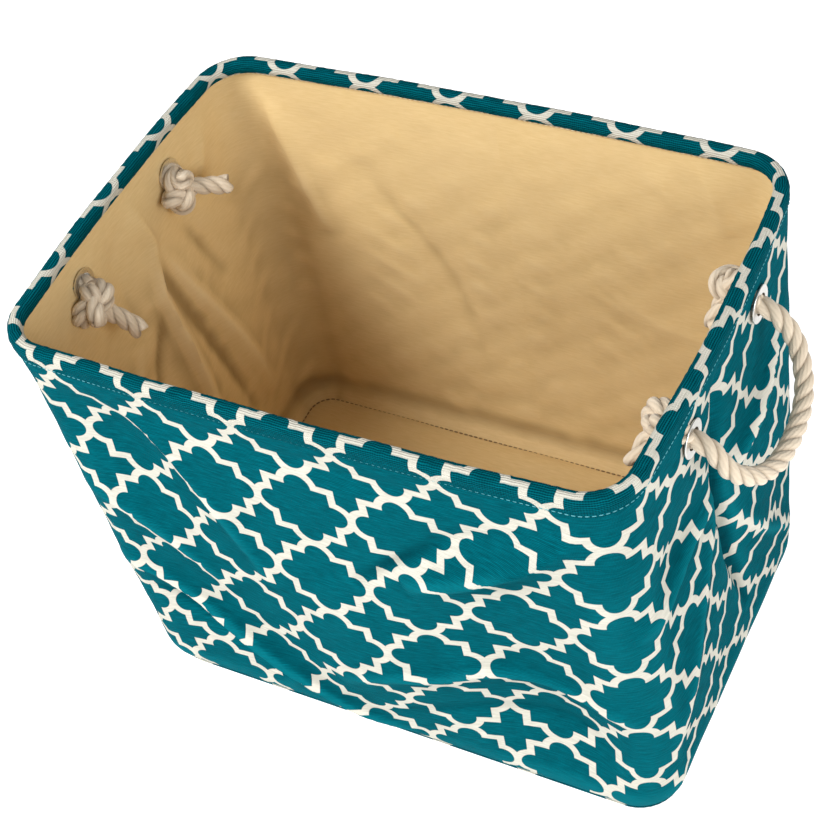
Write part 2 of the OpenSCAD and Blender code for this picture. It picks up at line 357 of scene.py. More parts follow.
# Folds: wall, points along them (place along the wall, height), how far out, half width (mm)
FOLDS = [
    ("front", [(-176, 366), (-142, 345), (-112, 318), (-82, 268), (-58, 222), (-50, 190)], 7, 13),
    ("front", [(-205, 236), (-165, 218), (-130, 196), (-95, 160)], 6, 10),
    ("front", [(-205, 148), (-152, 134), (-105, 104), (-60, 70), (-17, 38), (24, 22)], 14, 10),
    ("front", [(-190, 112), (-150, 92), (-110, 66), (-80, 38)], -8, 10),
    ("front", [(60, 246), (96, 262), (125, 280), (160, 308), (196, 350)], 11, 9),
    ("front", [(-22, 98), (24, 124), (62, 132), (98, 152), (150, 152), (192, 136), (222, 108)], 8, 11),
    ("front", [(20, 60), (80, 88), (140, 92), (190, 70)], -4, 14),
    ("front", [(20, 232), (60, 268), (100, 300), (150, 330)], -6, 9),
    ("right", [(-12, 364), (-12, 300), (-11, 238), (-5, 195), (2, 150), (16, 100), (26, 58)], -12, 7),
    ("right", [(-135, 226), (-90, 232), (-50, 240), (-16, 238)], 8, 9),
    ("right", [(-8, 236), (24, 240), (54, 256), (88, 280), (110, 300)], 8, 9),
    ("right", [(-10, 236), (-60, 170), (-104, 100), (-120, 60)], 5, 12),
    ("right", [(-2, 200), (50, 120), (100, 60), (112, 34)], 6, 12),
    ("left", [(12, 380), (10, 345), (15, 310), (4, 275), (8, 225), (12, 150), (10, 90)], -10, 7),
    ("left", [(22, 300), (36, 250), (58, 183), (86, 80)], -7, 9),
    ("left", [(12, 300), (19, 265), (30, 215), (44, 150), (58, 80)], 6, 7),
    ("left", [(106, 356), (96, 330), (84, 306)], -4, 5),
    ("left", [(-30, 250), (-52, 210), (-60, 150)], -4, 8),
    ("left", [(2, 262), (-30, 190), (-70, 110), (-90, 60)], 6, 10),
    ("left", [(-18, 350), (-24, 300), (-20, 250)], 4, 9), ("left", [(46, 330), (60, 280), (78, 220)], 4, 10),
    ("back", [(-200, 366), (-186, 330), (-172, 280), (-160, 220)], -6, 10),
    ("back", [(150, 366), (160, 330), (172, 300)], -2.5, 6),
    ("back", [(120, 366), (124, 340), (132, 310)], -1.5, 5),
    ("back", [(60, 240), (110, 200), (170, 190)], -2, 12),
    ("back", [(-120, 300), (-60, 200), (-40, 90)], 3, 20)]


def outline(height, columns):
    """Outline of the cloth at each height: a rectangle with quarter-circle corners whose
    straight sides bow out by 4 f (1 - f) of the bow, f being the share of the side's length.
    Columns are spaced by length round the rim, starting at the middle of the back wall and
    going anticlockwise. The last value is the print's coordinate round the bin: the length
    from the front's middle, stretched at the back until the whole way round is whole tiles."""
    t = np.clip(height / BIN_H, 0, 1)[:, None]
    foot = np.clip(1 - height / FOOT_H, 0, 1)[:, None]
    cut = FOOT_IN * (1 - np.sqrt(np.maximum(1 - foot ** 2, 0)))
    a = BASE_HALF[0] + (RIM_HALF[0] - BASE_HALF[0]) * t - cut
    b = BASE_HALF[1] + (RIM_HALF[1] - BASE_HALF[1]) * t - cut
    r = BASE_R + (RIM_R - BASE_R) * t
    bow = RIM_BOW * t ** 3 - WAIST * np.sin(np.pi * np.minimum(height[:, None] / FOLD_H, 1))
    long_side, short_side = 2 * (RIM_HALF[0] - RIM_R), 2 * (RIM_HALF[1] - RIM_R)
    arc = RIM_R * np.pi / 2
    ends = np.cumsum([0, short_side / 2, arc, long_side, arc, short_side, arc, long_side, arc,
                      short_side / 2])
    s = np.linspace(0, ends[-1], columns, endpoint=False)
    x, y, nx, ny = (np.zeros((len(height), columns)) for _ in range(4))
    sides = [(0, 1, 0), (2, 0, 1), (4, -1, 0), (6, 0, -1), (8, 1, 0)]
    for start, ox, oy in sides:
        here = (s >= ends[start]) & (s < ends[start + 1])
        length = long_side if oy else short_side
        f = (s[here] - ends[start]) / length + (0.5 if start == 0 else 0.0)
        half = (a - r) if oy else (b - r)
        run = (2 * f[None, :] - 1) * half
        out = bow * 4 * f * (1 - f)
        x[:, here] = ox * (a + out) - oy * run
        y[:, here] = oy * (b + out) + ox * run
        nx[:, here], ny[:, here] = ox, oy
    for k in range(4):
        here = (s >= ends[2 * k + 1]) & (s < ends[2 * k + 2])
        angle = np.pi / 2 * (k + (s[here] - ends[2 * k + 1]) / arc)
        cx, cy = (1, -1, -1, 1)[k], (1, 1, -1, -1)[k]
        x[:, here] = cx * (a - r) + r * np.cos(angle)
        y[:, here] = cy * (b - r) + r * np.sin(angle)
        nx[:, here], ny[:, here] = np.cos(angle), np.sin(angle)
    x, y, nx, ny = (np.roll(value, -columns // 4, axis=1) for value in (x, y, nx, ny))
    s = np.linspace(-ends[-1] / 2, ends[-1] / 2, columns + 1)
    spare = round(ends[-1] / PRINT_REPEAT) * PRINT_REPEAT / 2 - s[-1]
    s += np.sign(s) * spare * np.clip((np.abs(s) - PRINT_KEPT) / (s[-1] - PRINT_KEPT), 0, 1)
    return x, y, nx, ny, s


def on_wall(wall, nx, ny):
    """How much a point belongs to a wall: its outward direction's part along the wall's."""
    ox, oy = {"right": (1, 0), "left": (-1, 0), "front": (0, -1), "back": (0, 1)}[wall]
    return np.clip(nx * ox + ny * oy, 0, 1) ** 2


def line_distance(points, s, z):
    """Distance of each place from a line of points, and its share of the way along it: the
    nearest of the distances from the line's straight pieces."""
    points = smooth_line(points, 14)
    best, share = np.full(s.shape, 1e9), np.zeros(s.shape)
    for k in range(len(points) - 1):
        p, q = points[k], points[k + 1]
        step = q - p
        t = np.clip(((s - p[0]) * step[0] + (z - p[1]) * step[1]) / (step @ step), 0, 1)
        d = np.hypot(s - p[0] - t * step[0], z - p[1] - t * step[1])
        nearer = d < best
        best, share = np.where(nearer, d, best), np.where(nearer, (k + t) / (len(points) - 1), share)
    return best, share


def pushed_out(x, y, z, nx, ny):
    """How far the folds and swells push the cloth out: each swell is a bell curve, and each
    fold a crest that falls off by exp(-distance / width), rounded at its top and faded at
    its ends. Nothing moves at the seam below the hem or at the base."""
    out = np.zeros(x.shape)
    rim_hold = np.clip((SEAM_Z + 0.004 - z) / 0.045, 0, 1)
    foot_hold = np.clip((z - 0.004) / 0.030, 0, 1)
    hold = rim_hold ** 2 * (3 - 2 * rim_hold) * foot_hold
    for wall, s0, z0, reach_s, reach_z, amount in SWELLS:
        s = (x if wall in ("front", "back") else y) * 1000
        bell = np.exp(-((s - s0) / reach_s) ** 2 - ((z * 1000 - z0) / reach_z) ** 2)
        out += amount * bell * on_wall(wall, nx, ny)
    for wall, line, amount, width in FOLDS:
        s = (x if wall in ("front", "back") else y) * 1000
        away, share = line_distance(line, s, z * 1000)
        crest = np.exp(-(np.sqrt(away ** 2 + 1.6 ** 2) - 1.6) / width)
        fade = np.sin(np.pi * np.clip(share, 0, 1)) ** 0.6
        out += amount * crest * fade * on_wall(wall, nx, ny)
    ripple = np.sin(x * 61 + y * 83) * np.sin(z * 47 + x * 23)
    ripple += 0.6 * np.sin(x * 131 - z * 97) * np.sin(y * 117 + z * 71)
    return (out + 0.5 * ripple) * hold / 1000


def cloth_wall(heights, columns, inset, crinkle=0.0, foot=None):
    """The cloth's wall as rows x columns of points from the top down, set in from the outer
    face. Its second value is the print's coordinates in metres: along the rim from the middle
    of the front wall, and down from the seam as the length of each column's folded line.
    foot gives the height where the wall ends and over what height it rounds in to there."""
    heights = np.asarray(heights)[::-1]
    x, y, nx, ny, s = outline(heights, columns)
    z = np.broadcast_to(heights[:, None], x.shape)
    out = pushed_out(x, y, z, nx, ny) - inset
    if foot:
        near = np.clip(1 - (z - foot[0]) / foot[1], 0, 1)
        loose = np.clip((z - foot[0]) / 0.040, 0, 1)
        out = np.minimum(out, out * loose ** 2 * (3 - 2 * loose) - inset * (1 - loose))
        out = out - foot[1] * 0.8 * near ** 2
    if crinkle:
        fine = np.sin(x * 93 + z * 61 + 2 * np.sin(z * 31)) * np.sin(y * 88 - z * 120 + 1.5 * np.sin(x * 27))
        out = out - crinkle * np.maximum(fine, 0) ** 2 * np.clip((SEAM_Z - z) / 0.03, 0, 1)
    places = np.stack([x + nx * out, y + ny * out, z], axis=2)
    step = np.linalg.norm(np.diff(places, axis=0), axis=2)
    down = np.vstack([np.zeros((1, columns)), np.cumsum(step, axis=0)]) + SEAM_Z - heights[0]
    down = np.hstack([down, down[:, :1]])
    return places, np.stack([np.broadcast_to(s, down.shape), down], axis=2)


COLUMNS = 440
foot_rows = [0.0004, 0.002, 0.005, 0.009, 0.014, 0.020]
wall_rows = foot_rows + np.linspace(0.026, FOLD_H, 82).tolist()
band_rows = np.linspace(FOLD_H, SEAM_Z + 0.0010, 22)[1:].tolist()
whole, whole_uv = cloth_wall(wall_rows + band_rows, COLUMNS, 0.0)
split = len(band_rows)


LOBE_AT = 22.5                      # where the tile's lobes have their round ends' centre, mm


def node_group(name, sockets):
    """A node group with sockets of a name, direction and kind: itself, its input and output."""
    tree = bpy.data.node_groups.new(name, "ShaderNodeTree")
    for label, way, kind in sockets:
        tree.interface.new_socket(label, in_out=way, socket_type="NodeSocket" + kind)
    return tree, tree.nodes.new("NodeGroupInput"), tree.nodes.new("NodeGroupOutput")


def lattice_print():
    """Node group: mask of the off-white lattice. In one repeat, folded into a quarter, the
    teal tile is a square joined to two bars with round ends; the line round it is the same
    shape grown by the line's width, and the small crosses between are what is left."""
    tree, inner, outer = node_group("lattice_print", [("Print UV", "INPUT", "Vector"),
                                                      ("Line", "OUTPUT", "Float")])
    split_uv = tree.nodes.new("ShaderNodeSeparateXYZ")
    tree.links.new(inner.outputs[0], split_uv.inputs[0])

    def folded(value, shift):
        """Distance in millimetres from the nearest tile's centre line."""
        cell = maths(tree, "MULTIPLY_ADD", value, 1 / PRINT_REPEAT, shift)
        cell = maths(tree, "FRACT", cell)
        cell = maths(tree, "ABSOLUTE", maths(tree, "SUBTRACT", cell, 0.5))
        return maths(tree, "MULTIPLY", cell, PRINT_REPEAT * 1000)

    qx, qy = folded(split_uv.outputs[0], PRINT_SHIFT[0]), folded(split_uv.outputs[1], PRINT_SHIFT[1])

    def tile(square_half, lobe_r):
        """Signed distance to a square joined to four lobes with round ends."""
        square = maths(tree, "SUBTRACT", maths(tree, "MAXIMUM", qx, qy), square_half)
        lobes = []
        for p, q in ((qx, qy), (qy, qx)):
            past = maths(tree, "MAXIMUM", maths(tree, "SUBTRACT", p, LOBE_AT), 0.0)
            squares = [maths(tree, "MULTIPLY", value, value) for value in (past, q)]
            reach = maths(tree, "SQRT", maths(tree, "ADD", *squares))
            lobes.append(maths(tree, "SUBTRACT", reach, lobe_r))
        return maths(tree, "MINIMUM", square, maths(tree, "MINIMUM", *lobes))

    def soft_step(value):
        """0 below -0.15 mm, 1 above 0.15 mm."""
        return maths(tree, "MULTIPLY_ADD", value, 1 / 0.3, 0.5, clamp=True)

    beyond = soft_step(tile(21.2, 9.6))
    within = maths(tree, "SUBTRACT", 1.0, soft_step(tile(26.8, 15.2)))
    tree.links.new(maths(tree, "MULTIPLY", beyond, within), outer.inputs[0])
    return tree


def slub_weave():
    """Node group: height of a plain weave with fine cross ribs. Ribs run across at an even
    pitch with their phase shaken by noise, warp threads cross them, and long thin slubs lie
    along the ribs. The other outputs are the shade that the yarns' unevenness gives, and how
    far a place lies down in a groove between ribs."""
    tree, inner, outer = node_group("slub_weave", [
        ("Cloth UV", "INPUT", "Vector"), ("Pitch", "INPUT", "Float"), ("Height", "OUTPUT", "Float"),
        ("Shade", "OUTPUT", "Float"), ("Groove", "OUTPUT", "Float")])
    split_uv = tree.nodes.new("ShaderNodeSeparateXYZ")
    tree.links.new(inner.outputs[0], split_uv.inputs[0])
    wander = noise(tree, inner.outputs[0], 260.0, 2.0, stretch=(0.25, 1.0, 1.0))
    turns = maths(tree, "DIVIDE", split_uv.outputs[1], inner.outputs[1])
    turns = maths(tree, "ADD", turns, maths(tree, "MULTIPLY", wander, 0.7))
    rib = maths(tree, "SINE", maths(tree, "MULTIPLY", turns, 2 * math.pi))
    warp = maths(tree, "DIVIDE", split_uv.outputs[0], inner.outputs[1])
    warp = maths(tree, "SINE", maths(tree, "MULTIPLY", warp, 2 * math.pi * 1.3))
    slub = noise(tree, inner.outputs[0], 700.0, 3.0, 0.6, stretch=(0.12, 1.0, 1.0))
    height = maths(tree, "MULTIPLY_ADD", warp, 0.15, maths(tree, "MULTIPLY", rib, 0.42))
    height = maths(tree, "MULTIPLY_ADD", slub, 0.9, height)
    tree.links.new(height, outer.inputs[0])
    tree.links.new(maths(tree, "MULTIPLY_ADD", slub, 2.4, -0.7, clamp=True), outer.inputs[1])
    groove = maths(tree, "MULTIPLY_ADD", warp, -0.14, 0.30)
    groove = maths(tree, "MULTIPLY_ADD", rib, -0.42, groove, clamp=True)
    tree.links.new(groove, outer.inputs[2])
    return tree


lattice_group = lattice_print()
weave_group = slub_weave()


def mark_creases(piece, places):
    """Stores how far each point stands out from the middle of its neighbours three columns
    and three rows away, outwards from the bin, as the attribute "crease": 1 is 4 mm. It
    fades out where the folding wall meets the band."""
    level = places - 0.5 * (np.roll(places, 3, axis=1) + np.roll(places, -3, axis=1))
    level[3:-3] += places[3:-3] - 0.5 * (places[6:] + places[:-6])
    outward = unit(places * [1, 1, 0])
    crease = np.sum(level * outward, axis=2) / 0.004
    crease *= np.clip((FOLD_H - places[..., 2]) / 0.030, 0, 1)
    # the attribute is the mask for the painted shade in the creases' hollows and the painted light on their
    # ridges
    marks = piece.data.attributes.new("crease", "FLOAT", "POINT")
    values = np.zeros(len(piece.data.vertices), np.float32)
    values[:crease.size] = np.clip(crease, -1, 1).ravel()
    marks.data.foreach_set("value", values)


def woven(tree, uv, pitch):
    """The weave group placed on a cloth's coordinates, with its ribs' pitch in metres."""
    weave = tree.nodes.new("ShaderNodeGroup")
    weave.node_tree = weave_group
    tree.links.new(uv, weave.inputs[0])
    weave.inputs[1].default_value = pitch
    return weave


def painted_crease_shading(tree, colour, sign, dark, ridge_light):
    """Colour with painted shade in the hollows of its creases and painted light on their raised
    ridges; the two colours are those of the painted shade and the painted light. sign is 1 where
    the cloth is seen from outside the bin and -1 from inside."""
    crease = tree.nodes.new("ShaderNodeAttribute")
    crease.attribute_name = "crease"
    # painted shade: the hollows of the creases are darkened
    hollow_shade = maths(tree, "MULTIPLY", crease.outputs["Fac"], -0.85 * sign, clamp=True)
    # painted light: the ridges of the creases are lightened
    edge = maths(tree, "MULTIPLY", crease.outputs["Fac"], 0.45 * sign, clamp=True)
    return mixed(tree, edge, mixed(tree, hollow_shade, colour, dark), ridge_light)


def printed_cloth(name, rib_pitch, rib_depth, groove_shade_strength):
    """Teal ground with the off-white lattice, on a slubbed weave. Both inks take unevenly along the
    yarns, both have painted shade in the grooves between the ribs, and both have painted shade in
    the creases' hollows and painted light on their ridges."""
    material, tree, shader = node_tree(name)
    uv = tree.nodes.new("ShaderNodeUVMap").outputs[0]
    pattern = tree.nodes.new("ShaderNodeGroup")
    pattern.node_tree = lattice_group
    tree.links.new(uv, pattern.inputs[0])
    weave = woven(tree, uv, rib_pitch)
    blotch = noise(tree, uv, 22.0, 3.0)
    teal = mixed(tree, weave.outputs[1], (0.0, 0.062, 0.080), (0.0, 0.150, 0.190))
    teal = mixed(tree, maths(tree, "MULTIPLY", blotch, 0.35), teal, (0.0, 0.088, 0.113))
    # painted shade: the grooves between the ribs are darkened, on the white ink less than on the teal
    painted_groove_shade = maths(tree, "MULTIPLY", weave.outputs[2], groove_shade_strength)
    teal = mixed(tree, painted_groove_shade, teal, (0.0, 0.022, 0.030))
    white = mixed(tree, weave.outputs[1], (0.50, 0.485, 0.415), (0.66, 0.64, 0.56))
    lighter_groove_shade = maths(tree, "MULTIPLY", weave.outputs[2], groove_shade_strength * 0.4)
    white = mixed(tree, lighter_groove_shade, white, (0.42, 0.40, 0.33))
    # painted shade in the creases' hollows and painted light on their ridges, for the teal and for the white
    # ink
    teal = painted_crease_shading(tree, teal, 1, (0.0, 0.036, 0.048), (0.004, 0.19, 0.23))
    white = painted_crease_shading(tree, white, 1, (0.33, 0.33, 0.28), (0.72, 0.70, 0.61))
    tree.links.new(mixed(tree, pattern.outputs[0], teal, white), shader.inputs["Base Color"])
    shader.inputs["Roughness"].default_value = 0.85
    shader.inputs["Specular IOR Level"].default_value = 0.01
    bump(tree, weave.outputs[0], 0.5, rib_depth, shader)
    return material


wall_print = printed_cloth("printed_cloth", 0.0012, 0.0007, 0.75)


def thickened(piece, thickness):
    """Gives a cloth its thickness, on the side away from its face, with crisp cut edges."""
    solid = piece.modifiers.new("thickness", "SOLIDIFY")
    solid.thickness = thickness
    solid.offset = -1
    bpy.context.view_layer.update()
    evaluated = piece.evaluated_get(bpy.context.evaluated_depsgraph_get())
    mesh = bpy.data.meshes.new_from_object(evaluated)
    piece.modifiers.clear()
    piece.data = mesh
    mesh.set_sharp_from_angle(angle=math.radians(60))
    return piece


outer_wall = new_object(grid_mesh("outer_wall_cloth", [whole[split:]], [whole_uv[split:]], around=True),
                        wall_print)
mark_creases(outer_wall, whole[split:])
thickened(outer_wall, CLOTH_T)
belongs(outer_wall, "outer_wall", "base")
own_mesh(outer_wall)


# ------------------------------------------------------------
# The band of the same cloth above the fold line. The hoop holds it, so it goes up and down
# with the rim. It is pierced by four holes for the eyelets.
EYELET_HOLE = 0.0095                # radius of the hole cut in the cloth, under the eyelet's rim
EYELETS = [(sx * 0.2245, sy * EYELET_Y, EYELET_Z) for sx in (1, -1) for sy in (1, -1)]


def pierced(name, places, uv, material):
    """A band of cloth with the eyelets' holes left out of it."""
    mesh = grid_mesh(name, [places], [uv], around=True, holes=EYELETS, hole_r=EYELET_HOLE)
    return new_object(mesh, material)


upper_wall = pierced("upper_wall_cloth", whole[:split + 1], whole_uv[:split + 1], wall_print)
thickened(upper_wall, CLOTH_T)
belongs(upper_wall, "upper_wall", "rim")


# ------------------------------------------------------------
# Rim hem. A strip of the printed cloth is rolled over the steel hoop and stitched down, so
# its ribs run along the rim and show more than on the wall.
HOOP_Z = 0.376
# The hem's section: distance out from the rim's outline and height (mm), from the inside over
HEM = [(-3.4, 367.0), (-5.0, 368.2), (-7.2, 370.2), (-8.8, 373.0), (-9.2, 376.0), (-8.3, 379.0),
       (-6.5, 380.6), (-4.2, 381.0), (-1.8, 380.7), (0.4, 379.2), (1.3, 376.0), (1.3, 373.0),
       (0.9, 369.2), (0.5, 366.6), (0.1, 365.0)]
HEM_STRETCH = 1.32                  # the print's shortening across the hem, pulled over the hoop


def hem_strip(columns):
    """The hem's section, smoothed, carried round the outline at the hoop's height. Its rows
    go over the top from the inside, and puckers between stitches swell it a little."""
    section = smooth_line(HEM, 34) / 1000
    x, y, nx, ny, s = outline(np.array([HOOP_Z]), columns)
    out, up = section[:, :1], section[:, 1:]
    round_it = s[None, :-1]
    pucker = 0.00025 * np.sin(round_it * 760) * np.sin(round_it * 113)
    pucker = pucker + 0.0003 * np.sin(round_it * 57 + 1.0)
    pucker = pucker * np.clip((up - 0.3668) / 0.006, 0, 1)
    places = np.stack([x + nx * (out + pucker), y + ny * (out + pucker), up + 0 * x], axis=2)
    places[..., 2] = np.minimum(places[..., 2], BIN_H)
    run = np.concatenate([[0], np.cumsum(np.linalg.norm(np.diff(section, axis=0), axis=1))])
    down = HEM_STRETCH * (run - run[-1])[:, None] + 0 * s[None, :]
    return places, np.stack([s[None, :] + 0 * down, down], axis=2)


# the hem's ribs get a deeper bump and stronger painted shade in their grooves than the wall's
hem_print = printed_cloth("hem_cloth", 0.0021, 0.0020, 1.25)
hem_places, hem_uv = hem_strip(COLUMNS)
hem = new_object(grid_mesh("hem_cloth", [hem_places], [hem_uv], around=True), hem_print)
thickened(hem, 0.0008)
belongs(hem, "rim_hem", "rim")


# ------------------------------------------------------------
# Lining. Smooth woven polyester in sand, sewn to the cloth at the hem and to the base along
# the floor. It is loose against the outer cloth, so its folds are the cloth's with finer
# crinkles of its own.
def lining_cloth():
    """Sand ground with fine cross threads, a faint warp, lighter and darker patches of wear, and painted
    shade in the hollows of its creases with painted light on their ridges.
    """
    material, tree, shader = node_tree("lining_cloth")
    uv = tree.nodes.new("ShaderNodeUVMap").outputs[0]
    weave = woven(tree, uv, 0.0007)
    patch = noise(tree, uv, 9.0, 4.0, 0.6)
    colour = mixed(tree, weave.outputs[1], (0.665, 0.47, 0.205), (0.745, 0.55, 0.265))
    colour = mixed(tree, maths(tree, "MULTIPLY", patch, 0.3), colour, (0.72, 0.56, 0.34))
    # painted shade in the creases' hollows and painted light on their ridges, as seen from inside the bin
    colour = painted_crease_shading(tree, colour, -1, (0.30, 0.19, 0.07), (0.86, 0.68, 0.40))
    tree.links.new(colour, shader.inputs["Base Color"])
    shader.inputs["Roughness"].default_value = 0.62
    shader.inputs["Specular IOR Level"].default_value = 0.3
    shader.inputs["Sheen Weight"].default_value = 0.1
    shader.inputs["Sheen Roughness"].default_value = 0.4
    bump(tree, weave.outputs[0], 0.35, 0.00025, shader)
    return material


lining_look = lining_cloth()
LINING_T = 0.0007
LINING_FOOT = 0.0308                # the floor panel hangs above the board, on the lining's seam
TURN_IN = 0.016                     # the wall rounds in to the floor over this height
inner_rows = (LINING_FOOT + np.array([0.0, 0.0015, 0.003, 0.005, 0.008])).tolist()
inner_rows += np.linspace(0.043, FOLD_H, 74).tolist()
inner, inner_uv = cloth_wall(inner_rows + np.linspace(FOLD_H, 0.3685, 22)[1:].tolist(), COLUMNS,
                             LINING_IN, crinkle=0.0006, foot=(LINING_FOOT, TURN_IN))
inner, inner_uv = inner[::-1], inner_uv[::-1]
lower = len(inner_rows)
lining = new_object(grid_mesh("lining_wall_cloth", [inner[:lower]], [inner_uv[:lower]], around=True),
                    lining_look)
mark_creases(lining, inner[:lower])
thickened(lining, LINING_T)
belongs(lining, "lining_wall", "base")
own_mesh(lining)

upper_lining = pierced("upper_lining_cloth", inner[lower - 1:], inner_uv[lower - 1:], lining_look)
thickened(upper_lining, LINING_T)
belongs(upper_lining, "upper_lining", "rim")


# ------------------------------------------------------------
# Floor panel and base cloth. The lining's floor hangs from its walls over a stiff board, and
# under the board the outer cloth closes the base.
PANEL_IN = 0.0115                   # the floor panel's edge, in from the outer cloth
def panel(name, height, inset, material, up, crinkle=0.0, sunk=0.0):
    """A flat cloth inside the outline at a height: rings of points that run from the edge to
    the middle in widening steps, with its coordinates in metres being its own x and y. The
    cloth lifts by crinkle times a product of sines, and its edge dips by sunk at its seam."""
    x, y, nx, ny, _ = outline(np.array([max(height, 0.0052)]), 220)
    edge = np.stack([x[0] - nx[0] * inset, y[0] - ny[0] * inset], axis=1)
    share = (1 - 0.98 * np.linspace(0, 1, 48) ** 1.7)[:, None, None]
    flat = edge[None] * share
    across, along = flat[..., 0], flat[..., 1]
    lift = np.sin(across * 47 + 1) * np.sin(along * 61) + 0.5 * np.sin(across * 23 - along * 90)
    lift = crinkle * lift * np.clip((1 - share[..., 0]) / 0.12, 0, 1)
    lift = lift - sunk * np.exp(-np.linalg.norm(edge[None] - flat, axis=2) / 0.006)
    places = np.concatenate([flat, (height + lift)[..., None]], axis=2)
    coords = np.concatenate([flat, flat[:, :1]], axis=1)
    if up:
        places, coords = places[:, ::-1], coords[:, ::-1]
    return new_object(grid_mesh(name, [places], [coords], around=True, caps=(-1,)), material)


lining_floor = panel("lining_floor", LINING_FOOT + 0.0037, PANEL_IN, lining_look, up=True,
                     crinkle=0.0018, sunk=0.0045)
thickened(lining_floor, LINING_T)
belongs(lining_floor, "lining_base", "base")

base_cloth = panel("base_cloth", 0.0004, 0.0010, wall_print, up=False)
thickened(base_cloth, 0.0010)
belongs(base_cloth, "outer_base", "base")


# ------------------------------------------------------------
# Stitching. A lockstitch holds the hem: its teal thread shows as dashes on the outside, and
# its sand thread on the inside. Another row sews the lining's floor panel.
STITCH_PITCH, STITCH, THREAD_R = 0.0040, 0.0028, 0.00045


def stitch_row(name, places, out, stitch, radius, material):
    """A row of small pods, one at each place: six-sided rings at four stations along the
    row, swollen in the middle, closed by a point at each end where the thread dives in."""
    along = unit(np.roll(places, -1, axis=0) - np.roll(places, 1, axis=0))
    across = np.cross(along, out)
    count = len(places)
    station = np.array([-0.46, -0.25, 0.25, 0.46]) * stitch
    swell = np.array([0.55, 1.0, 1.0, 0.55]) * radius
    angle = np.arange(6) * np.pi / 3
    ring = out[:, None, None] * np.cos(angle)[None, None, :, None]
    ring = ring + across[:, None, None] * np.sin(angle)[None, None, :, None]
    body = places[:, None, None] + along[:, None, None] * station[None, :, None, None]
    body = body + ring * swell[None, :, None, None]
    tips = places[:, None] + along[:, None] * np.array([[-0.5], [0.5]])[None] * stitch
    tips = tips - out[:, None] * radius * 0.8
    points = np.concatenate([body.reshape(count, 24, 3), tips], axis=1)
    side = np.arange(6)
    nxt = (side + 1) % 6
    quads = np.concatenate([np.stack([k + side, k + nxt, k + 6 + nxt, k + 6 + side], axis=1)
                            for k in (0, 6, 12)])
    ends = np.concatenate([np.stack([nxt, side, side * 0 + 24], axis=1),
                           np.stack([18 + side, 18 + nxt, side * 0 + 25], axis=1)])
    shift = (np.arange(count) * 26)[:, None, None]
    mesh = bpy.data.meshes.new(name)
    faces = (quads + shift).reshape(-1, 4).tolist() + (ends + shift).reshape(-1, 3).tolist()
    mesh.from_pydata(points.reshape(-1, 3).tolist(), [], faces)
    mesh.update()
    return new_object(mesh, material)


def spaced_round(height, inset, pitch):
    """Places at an even pitch round the outline at a height, with their outward directions."""
    x, y, nx, ny, _ = outline(np.array([height]), 2000)
    line = np.stack([x[0] - nx[0] * inset, y[0] - ny[0] * inset], axis=1)
    run = np.concatenate([[0], np.cumsum(np.linalg.norm(np.diff(line, axis=0), axis=1))])
    count = int(run[-1] / pitch)
    even = np.linspace(0, run[-1], count, endpoint=False)
    at = [np.interp(even, run, value) for value in (line[:, 0], line[:, 1], nx[0], ny[0])]
    place = np.stack([at[0], at[1], np.full(count, height)], axis=1)
    return place, unit(np.stack([at[2], at[3], np.zeros(count)], axis=1))


def thread(name, colour, dark):
    """Twisted sewing thread: fine slanted plies and a little unevenness in the dye."""
    material, tree, shader = node_tree(name)
    place = tree.nodes.new("ShaderNodeTexCoord").outputs["Object"]
    ply = noise(tree, place, 2200.0, 2.0)
    tree.links.new(mixed(tree, ply, dark, colour), shader.inputs["Base Color"])
    shader.inputs["Roughness"].default_value = 0.6
    bump(tree, ply, 0.4, 0.0002, shader)
    return material


teal_thread = thread("teal_thread", (0.10, 0.42, 0.47), (0.02, 0.22, 0.27))
sand_thread = thread("sand_thread", (0.88, 0.74, 0.52), (0.62, 0.48, 0.28))
# The floor row's thread is dark brown: real stitches, coloured darker to paint the shade of the seam's
# crease.
floor_thread = thread("floor_thread", (0.30, 0.19, 0.085), (0.16, 0.10, 0.04))
places, out = spaced_round(SEAM_Z + 0.0012, -0.0008, STITCH_PITCH)
hem_row = stitch_row("hem_stitches", places, out, STITCH, THREAD_R, teal_thread)
belongs(hem_row, "hem_thread", "rim")
places, out = spaced_round(0.3682, 0.0048, STITCH_PITCH)
inner_row = stitch_row("lining_stitches", places, -out, STITCH, THREAD_R, sand_thread)
belongs(inner_row, "lining_thread", "rim")
places, _ = spaced_round(LINING_FOOT + 0.0013, PANEL_IN + 0.0035, 0.0045)
places = places + [0, 0, 0.0002]
upward = np.tile([0.0, 0.0, 1.0], (len(places), 1))
floor_row = stitch_row("floor_stitches", places, upward, 0.0034, 0.00060, floor_thread)
belongs(floor_row, "floor_thread", "base")


# ------------------------------------------------------------
# Knots. Each rope end is tied in a tight overhand knot behind its eyelet, with a short tail
# whose cut end has opened a little.
ROPE_TIGHT = 0.0067                 # the rope's radius where the knot squeezes it
WIND_R, WIND_A = 0.0084, 0.0052     # the knot's winding: its ring's radius and its thickness
KNOTS = {("left", "back"): ((-0.2125, 0.0525, 0.3325), (19, 23, -11)),
         ("left", "front"): ((-0.2125, -0.0650, 0.3290), (17, 12, -26)),
         ("right", "back"): ((0.2100, 0.0590, 0.3470), (-8, -12, -14)),
         ("right", "front"): ((0.2100, -0.0610, 0.3490), (-9, -18, -9))}


